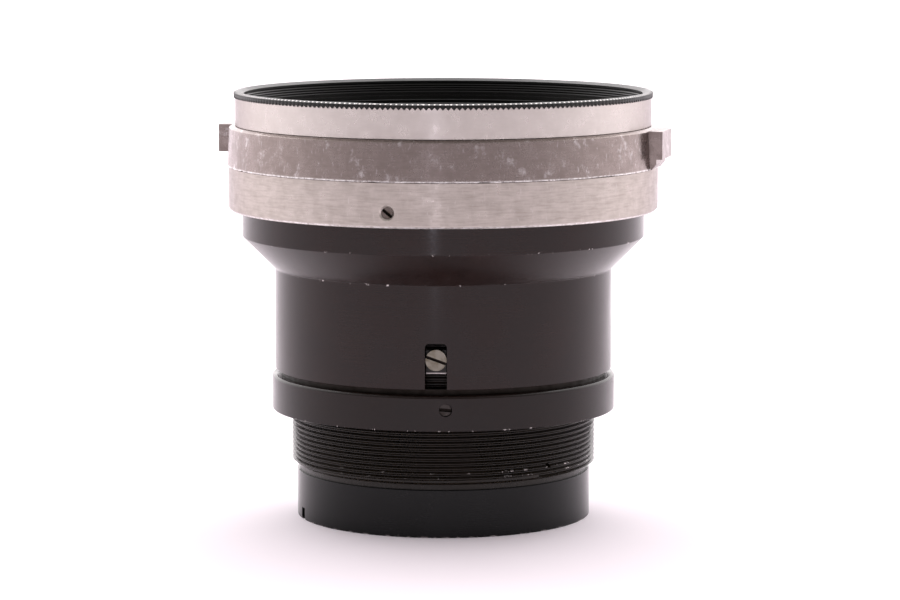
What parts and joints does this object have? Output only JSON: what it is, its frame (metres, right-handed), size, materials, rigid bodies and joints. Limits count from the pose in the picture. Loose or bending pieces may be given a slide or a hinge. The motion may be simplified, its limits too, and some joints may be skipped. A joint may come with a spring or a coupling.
{
  "type": "camera lens",
  "caption": "Large threaded camera lens: black barrel with a keyed sliding sleeve and register ring, bare aluminium rings with two grip lugs, and a bladed iris.",
  "frame": {"origin": "centre of the rear face, where the lens stands", "axes": "+Z along the optical axis towards the front; -Y is the side with the key slot; the grip lugs lie 13 degrees off the X axis"},
  "size_m": [0.0924, 0.088, 0.0869],
  "materials": {
    "black_anodised": "satin black anodised aluminium, worn at edges",
    "bare_aluminium": "bare turned aluminium, satin",
    "scuffed_aluminium": "bare aluminium, scuffed and blotchy",
    "blued_steel": "dark blued steel, brushed",
    "plain_steel": "bare steel screw, slightly tarnished",
    "coated_glass": "coated optical glass"
  },
  "bodies": {
    "rear_barrel": {"threaded_tube": "black_anodised", "rear_ring": "black_anodised", "key_block": "plain_steel", "key_screw": "plain_steel", "rear_crown_lens": "coated_glass", "rear_flint_lens": "coated_glass", "rear_spacer_ring": "black_anodised", "rear_retainer": "black_anodised"},
    "thrust_washer": {"thrust_washer": "blued_steel"},
    "register_ring": {"register_ring": "black_anodised", "register_set_screw": "blued_steel"},
    "front_barrel": {"barrel_sleeve": "black_anodised", "head_tube": "black_anodised", "lower_band": "bare_aluminium", "band_grub_screw_1": "plain_steel", "band_grub_screw_2": "plain_steel", "band_grub_screw_3": "plain_steel", "upper_ring": "bare_aluminium", "front_bezel": "black_anodised", "front_cell": "black_anodised", "front_retainer": "black_anodised", "front_crown_lens": "coated_glass", "front_flint_lens": "coated_glass", "iris_housing": "black_anodised", "iris_retainer": "blued_steel"},
    "aperture_ring": {"aperture_ring": "scuffed_aluminium", "right_lug": "scuffed_aluminium", "left_lug": "scuffed_aluminium", "iris_drive_screw": "plain_steel", "iris_rotor": "blued_steel"},
    "iris_blade_01": {"iris_blade_01": "blued_steel"},
    "iris_blade_02": {"iris_blade_02": "blued_steel"},
    "iris_blade_03": {"iris_blade_03": "blued_steel"},
    "iris_blade_04": {"iris_blade_04": "blued_steel"},
    "iris_blade_05": {"iris_blade_05": "blued_steel"},
    "iris_blade_06": {"iris_blade_06": "blued_steel"},
    "iris_blade_07": {"iris_blade_07": "blued_steel"},
    "iris_blade_08": {"iris_blade_08": "blued_steel"},
    "iris_blade_09": {"iris_blade_09": "blued_steel"},
    "iris_blade_10": {"iris_blade_10": "blued_steel"}
  },
  "joints": [
    {"name": "barrel_slide", "type": "slide", "parent": "rear_barrel", "child": "front_barrel", "axis": [0, 0, 1], "range_m": [-0.001, 0.002]},
    {"name": "washer_slide", "type": "slide", "parent": "rear_barrel", "child": "thrust_washer", "axis": [0, 0, 1], "range_m": [-0.001, 0.002]},
    {"name": "register_ring_turn", "type": "hinge", "parent": "thrust_washer", "child": "register_ring", "pos_m": [0, 0, 0.026], "axis": [0, 0, 1], "range_deg": [-360, 720]},
    {"name": "aperture_ring_turn", "type": "hinge", "parent": "front_barrel", "child": "aperture_ring", "pos_m": [0, 0, 0.0759], "axis": [0, 0, 1], "range_deg": [0, 30]},
    {"name": "iris_blade_01_swing", "type": "hinge", "parent": "front_barrel", "child": "iris_blade_01", "pos_m": [0.0365, 0, 0.069], "axis": [0, 0, 1], "range_deg": [0, 20]},
    {"name": "iris_blade_02_swing", "type": "hinge", "parent": "front_barrel", "child": "iris_blade_02", "pos_m": [0.02953, 0.02145, 0.069], "axis": [0, 0, 1], "range_deg": [0, 20]},
    {"name": "iris_blade_03_swing", "type": "hinge", "parent": "front_barrel", "child": "iris_blade_03", "pos_m": [0.01128, 0.03471, 0.069], "axis": [0, 0, 1], "range_deg": [0, 20]},
    {"name": "iris_blade_04_swing", "type": "hinge", "parent": "front_barrel", "child": "iris_blade_04", "pos_m": [-0.01128, 0.03471, 0.069], "axis": [0, 0, 1], "range_deg": [0, 20]},
    {"name": "iris_blade_05_swing", "type": "hinge", "parent": "front_barrel", "child": "iris_blade_05", "pos_m": [-0.02953, 0.02145, 0.069], "axis": [0, 0, 1], "range_deg": [0, 20]},
    {"name": "iris_blade_06_swing", "type": "hinge", "parent": "front_barrel", "child": "iris_blade_06", "pos_m": [-0.0365, 0, 0.069], "axis": [0, 0, 1], "range_deg": [0, 20]},
    {"name": "iris_blade_07_swing", "type": "hinge", "parent": "front_barrel", "child": "iris_blade_07", "pos_m": [-0.02953, -0.02145, 0.069], "axis": [0, 0, 1], "range_deg": [0, 20]},
    {"name": "iris_blade_08_swing", "type": "hinge", "parent": "front_barrel", "child": "iris_blade_08", "pos_m": [-0.01128, -0.03471, 0.069], "axis": [0, 0, 1], "range_deg": [0, 20]},
    {"name": "iris_blade_09_swing", "type": "hinge", "parent": "front_barrel", "child": "iris_blade_09", "pos_m": [0.01128, -0.03471, 0.069], "axis": [0, 0, 1], "range_deg": [0, 20]},
    {"name": "iris_blade_10_swing", "type": "hinge", "parent": "front_barrel", "child": "iris_blade_10", "pos_m": [0.02953, -0.02145, 0.069], "axis": [0, 0, 1], "range_deg": [0, 20]}
  ],
  "couplings": [
    {"joint": "washer_slide", "follows": "barrel_slide", "ratio": 1},
    {"joint": "register_ring_turn", "follows": "barrel_slide", "rad_per_m": 6283.1},
    {"joint": "iris_blade_01_swing", "follows": "aperture_ring_turn", "ratio": 0.6666},
    {"joint": "iris_blade_02_swing", "follows": "aperture_ring_turn", "ratio": 0.6666},
    {"joint": "iris_blade_03_swing", "follows": "aperture_ring_turn", "ratio": 0.6666},
    {"joint": "iris_blade_04_swing", "follows": "aperture_ring_turn", "ratio": 0.6666},
    {"joint": "iris_blade_05_swing", "follows": "aperture_ring_turn", "ratio": 0.6666},
    {"joint": "iris_blade_06_swing", "follows": "aperture_ring_turn", "ratio": 0.6666},
    {"joint": "iris_blade_07_swing", "follows": "aperture_ring_turn", "ratio": 0.6666},
    {"joint": "iris_blade_08_swing", "follows": "aperture_ring_turn", "ratio": 0.6666},
    {"joint": "iris_blade_09_swing", "follows": "aperture_ring_turn", "ratio": 0.6666},
    {"joint": "iris_blade_10_swing", "follows": "aperture_ring_turn", "ratio": 0.6666}
  ]
}
